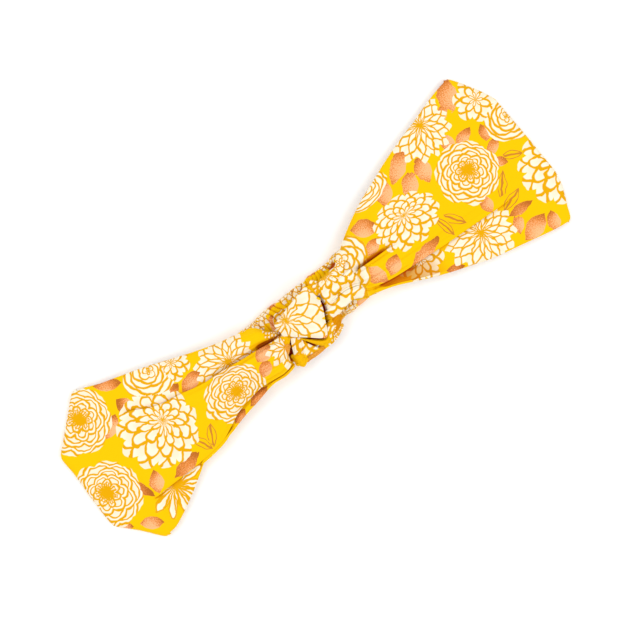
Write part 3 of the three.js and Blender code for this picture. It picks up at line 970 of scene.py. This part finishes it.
def draw_flower(m):
    """(petal, depth, echo, eye): where petals are, how far inside its petal's edge a point lies
    in millimetres, whether petals have an echo line, and where the yellow eye is."""
    u, v, size = m.attribute("bloom_at")
    petals, rings, notch = m.attribute("bloom_a")
    roundness, swirl, eye = m.attribute("bloom_b")
    lean, echo, rays = m.attribute("bloom_c")
    u, v = hand_drawn(m, u, v)
    inward = m("MAXIMUM", m("SUBTRACT", 1.0, m.radius(u, v)), 0.0)
    u = m("SUBTRACT", u, m("MULTIPLY", lean, inward))
    r = m.radius(u, v)
    turn = m("DIVIDE", m("ADD", m("ARCTAN2", v, u), math.pi), 2 * math.pi)
    ring = m("MULTIPLY", r, rings)
    from_middle = m("MULTIPLY", r, size)
    around = m("DIVIDE", m("MULTIPLY", petals, 1 / math.pi), m("MAXIMUM", from_middle, 0.5))
    per_mm = m("DIVIDE", rings, size)
    first = scallop(m, turn, 0.0, petals, notch, roundness, around, per_mm)
    second = scallop(m, turn, 0.5, petals, notch, roundness, around, per_mm)
    depth = innermost(m, m("MULTIPLY_ADD", turn, swirl, ring), first, second)

    # Outlines are finer near the middle, and on pointed petals.
    fine = m("MINIMUM", m("MAXIMUM", m("MULTIPLY", from_middle, 0.2), 0.55), 1.0)
    pointed = m("MULTIPLY_ADD", roundness, -0.3, 0.75)
    depth = m("ADD", pointed, m("MULTIPLY_ADD", echo, 0.15, m("DIVIDE", depth, fine)))

    outer = m("SUBTRACT", rings, m("ADD", ring, first[0]))
    between = m("SUBTRACT", m("SUBTRACT", rings, 1.0), m("ADD", ring, second[0]))
    petal = m.between(-0.08, 0.08, m("DIVIDE", m("MAXIMUM", outer, between), per_mm))
    ray = m("MULTIPLY", m("COSINE", m("MULTIPLY", turn, 2 * math.pi * EYE_RAYS)), rays)
    fuzz = m("MULTIPLY", m("SUBTRACT", m.noise(330, 2.0).outputs[0], 0.5), 0.35)
    edge = m("SUBTRACT", m("ADD", r, m("ADD", ray, fuzz)), eye)
    return petal, depth, echo, m("SUBTRACT", 1.0, m.between(-0.04, 0.05, edge))


def draw_leaf(m):
    """(fill, line, shade): where a leaf is, where it is only drawn in outline, and its shading."""
    along, across, size = m.attribute("leaf_at")
    width, tone, outline = m.attribute("leaf_a")
    sway = m("MULTIPLY", m("SUBTRACT", m.noise(70, 1.0).outputs[0], 0.5), 0.25)
    bent = m("ADD", across, sway)
    belly = m("SUBTRACT", 1.0, m("MULTIPLY", along, along))
    half = m("MULTIPLY", m("POWER", m("MAXIMUM", belly, 0.0), 1.1), width)
    depth = m("MULTIPLY", m("SUBTRACT", half, m("ABSOLUTE", bent)), size)
    inside = m.between(-0.05, 0.08, depth)
    vein = m("MULTIPLY", m("ABSOLUTE", bent), size)
    edge = m("SUBTRACT", 1.0, m.between(0.35, 0.5, m("MINIMUM", m("ABSOLUTE", depth), vein)))
    drawn = m("MULTIPLY", inside, m("MULTIPLY", edge, outline))
    filled = m("MULTIPLY", inside, m("SUBTRACT", 1.0, outline))
    grain = m("MULTIPLY", m("SUBTRACT", m.noise(520, 1.0).outputs[0], 0.5), 1.9)
    ends = m("MULTIPLY_ADD", m("MULTIPLY", along, along), 0.9, -0.15)
    fade = m("MULTIPLY_ADD", along, 0.3, m("MULTIPLY_ADD", bent, 0.7, m("ADD", ends, tone)))
    return filled, drawn, m("ADD", fade, grain)


def print_colour(m):
    """The colour of the print, and how much of it is a leaf."""
    petal, depth, echo, eye = draw_flower(m)
    filled, drawn, shade = draw_leaf(m)
    dark = m.mix(m.between(0.5, 1.2, shade), COPPER, BROWN)
    foil = m.mix(m.between(0.0, 0.6, shade), PALE_COPPER, dark)
    ground = m.mix(drawn, m.mix(filled, YELLOW, foil), INK)
    stroke = m("SUBTRACT", 1.0, m.between(1.0, 1.4, depth))
    beside = m("ABSOLUTE", m("SUBTRACT", depth, ECHO_DEPTH))
    second = m("MULTIPLY", m("SUBTRACT", 1.0, m.between(0.25, 0.45, beside)), echo)
    bloom = m.mix(m.between(1.0, 4.5, depth), CREAM, BLUSH)
    bloom = m.mix(m("MAXIMUM", stroke, second), bloom, MUSTARD)
    bloom = m.mix(eye, bloom, MUSTARD)
    leaf_share = m("MULTIPLY", m("MAXIMUM", filled, drawn), m("SUBTRACT", 1.0, petal))
    return m.mix(petal, ground, bloom), leaf_share


def shaded_by_folds(m, colour):
    """A colour with painted shade: made amber and then dark red as the mesh's painted shade attribute
    rises.
    """
    shade_attribute = m.tree.nodes.new("ShaderNodeAttribute")
    shade_attribute.attribute_name = "hollow"
    amber_shade = m.mix(1.0, colour, AMBER)
    amber_shade.node.blend_type = "MULTIPLY"
    colour = m.mix(m.between(0.0, 0.5, shade_attribute.outputs["Fac"]), colour, amber_shade)
    return m.mix(m.between(0.4, 1.0, shade_attribute.outputs["Fac"]), colour, FOLD_SHADE_COLOUR)


def printed_cotton():
    """Yellow cotton printed with outlined white flowers and copper leaves."""
    material, tree, shader = new_material("printed_cotton")
    m = Maths(tree)
    colour, leaf_share = print_colour(m)
    tree.links.new(shaded_by_folds(m, colour), shader.inputs["Base Color"])
    tree.links.new(m("MULTIPLY", leaf_share, 0.12), shader.inputs["Metallic"])
    tree.links.new(m("MULTIPLY_ADD", leaf_share, -0.35, 0.88), shader.inputs["Roughness"])
    shader.inputs["Specular IOR Level"].default_value = 0.08
    weave = m("MULTIPLY", m.wave("X", 420, 2.5), m.wave("Y", 420, 2.5))
    bump(tree, shader, m("ADD", weave, m.noise(900, 2.0).outputs[0]), 0.12)
    return material


def webbing():
    """White woven elastic: fine yarns crossing its ribs."""
    material, tree, shader = new_material("elastic_webbing")
    m = Maths(tree)
    yarns = m.wave("X", 95, 1.5)
    ribs = m.wave("Y", 24, 0.4)
    woven = m("MULTIPLY", yarns, m("MULTIPLY_ADD", ribs, 0.5, 0.5))
    colour = m.mix(woven, (0.70, 0.66, 0.58), (0.93, 0.91, 0.86))
    tree.links.new(colour, shader.inputs["Base Color"])
    tree.links.new(m("MULTIPLY_ADD", woven, -0.15, 0.95), shader.inputs["Roughness"])
    bump(tree, shader, woven, 0.3)
    return material


def thread():
    """Sewing thread: twisted strands, a little glossier than the cotton."""
    material, tree, shader = new_material("sewing_thread")
    m = Maths(tree)
    place = tree.nodes.new("ShaderNodeTexCoord")
    twist = tree.nodes.new("ShaderNodeTexWave")
    twist.bands_direction = "DIAGONAL"
    twist.inputs["Scale"].default_value = 900
    twist.inputs["Distortion"].default_value = 1.5
    tree.links.new(place.outputs["Object"], twist.inputs["Vector"])
    strand = twist.outputs["Fac"]
    tree.links.new(m.mix(strand, (0.60, 0.27, 0.01), (0.97, 0.60, 0.06)), shader.inputs["Base Color"])
    tree.links.new(m("MULTIPLY_ADD", strand, -0.2, 0.7), shader.inputs["Roughness"])
    bump(tree, shader, strand, 0.3)
    return material


def plain(name, colour, roughness):
    """One plain colour."""
    material, _, shader = new_material(name)
    shader.inputs["Base Color"].default_value = colour + (1.0,)
    shader.inputs["Roughness"].default_value = roughness
    return material


# ---- Light, table and camera ----


def light(name, size, power, position, towards=(0, 0, 0)):
    """A square soft light, aimed at a point."""
    data = bpy.data.lights.new(name, "AREA")
    data.size = size
    data.energy = power
    lamp = bpy.data.objects.new(name, data)
    bpy.context.scene.collection.objects.link(lamp)
    lamp.location = position
    lamp.rotation_euler = (Vector(towards) - Vector(position)).to_track_quat("-Z", "Y").to_euler()


def table_top():
    """A white table under the headband."""
    bpy.ops.mesh.primitive_plane_add(size=6, location=(0, 0, 0))
    table = bpy.context.object
    table.name = "table"
    table.data.materials.append(plain("white_table", (1.0, 1.0, 1.0), 0.9))


def studio():
    """Bright, even light with a soft key, and a camera straight above, turned with the loop."""
    world = bpy.data.worlds.new("studio")
    world.use_nodes = True
    world.node_tree.nodes["Background"].inputs[0].default_value = (1.0, 1.0, 1.0, 1.0)
    world.node_tree.nodes["Background"].inputs[1].default_value = 0.88
    bpy.context.scene.world = world
    light("key", 0.9, 5.2, (-0.4, 0.7, 1.1))
    light("fill", 0.9, 6.1, (0.4, -0.7, 1.1))
    data = bpy.data.cameras.new("camera")
    data.lens = 153
    data.sensor_width = 36
    data.clip_start = 0.05
    camera = bpy.data.objects.new("camera", data)
    bpy.context.scene.collection.objects.link(camera)
    camera.location = (0.00303, -0.00602, 1.207)
    camera.rotation_euler = (0, 0, math.radians(-39))
    bpy.context.scene.camera = camera
    bpy.context.scene.view_settings.view_transform = "Standard"


# ---- The headband ----

cotton = printed_cotton()

left_front, left_strand, left_fan = build_fan("left", LEFT, LEFT_FLOWERS, LEFT_LEAVES, 11, cotton)
right_front, right_strand, right_fan = build_fan("right", RIGHT, RIGHT_FLOWERS, RIGHT_LEAVES, 47, cotton)
backs = {}
hidden_print = scattered(270, 90, 4, "K")
for side_name, wrap, fan in (("left", LEFT, left_fan), ("right", RIGHT, right_fan)):
    grid = mirror_if(back_grid(wrap, fan), wrap["side"] > 0)
    backs[side_name] = cloth(side_name + "_back_cloth", grid, "K", *hidden_print, cotton)

casing_points, casing_uv, casing_painted_shade = casing_grid()
casing = cloth("gathered_casing", casing_points, "C", *scattered(260, 60, 9, "C"), cotton, casing_painted_shade,
               uv=casing_uv, around=True)
elastic_points = elastic_grid()
elastic = cloth("elastic_strip", elastic_points, "E", [], [], webbing())
bands = build_bands(cotton)

# Pieces attached to a body move with it; the fronts, the backs and the left strand are left unattached,
# their transforms applied to their meshes.
for side_name, side, front in (("left", -1, left_front), ("right", 1, right_front)):
    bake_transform(front)
    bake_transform(backs[side_name])
    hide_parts(side_name + "_wrap_front", side_name + "_wrap_fold")
    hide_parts(side_name + "_wrap_back")
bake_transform(left_strand)
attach(right_strand, "knot")
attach(casing, "elastic_back")
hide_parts("elastic_casing")
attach(elastic, "elastic_back")
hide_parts("elastic_band")
for piece in bands:
    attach(piece, "knot")
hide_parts("left_knot_loop", "right_knot_loop")

stitching = thread()
for node in ("left_seam_stitches", "right_seam_stitches"):
    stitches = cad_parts[node].data
    stitches.materials.clear()
    stitches.materials.append(stitching)

table_top()
studio()
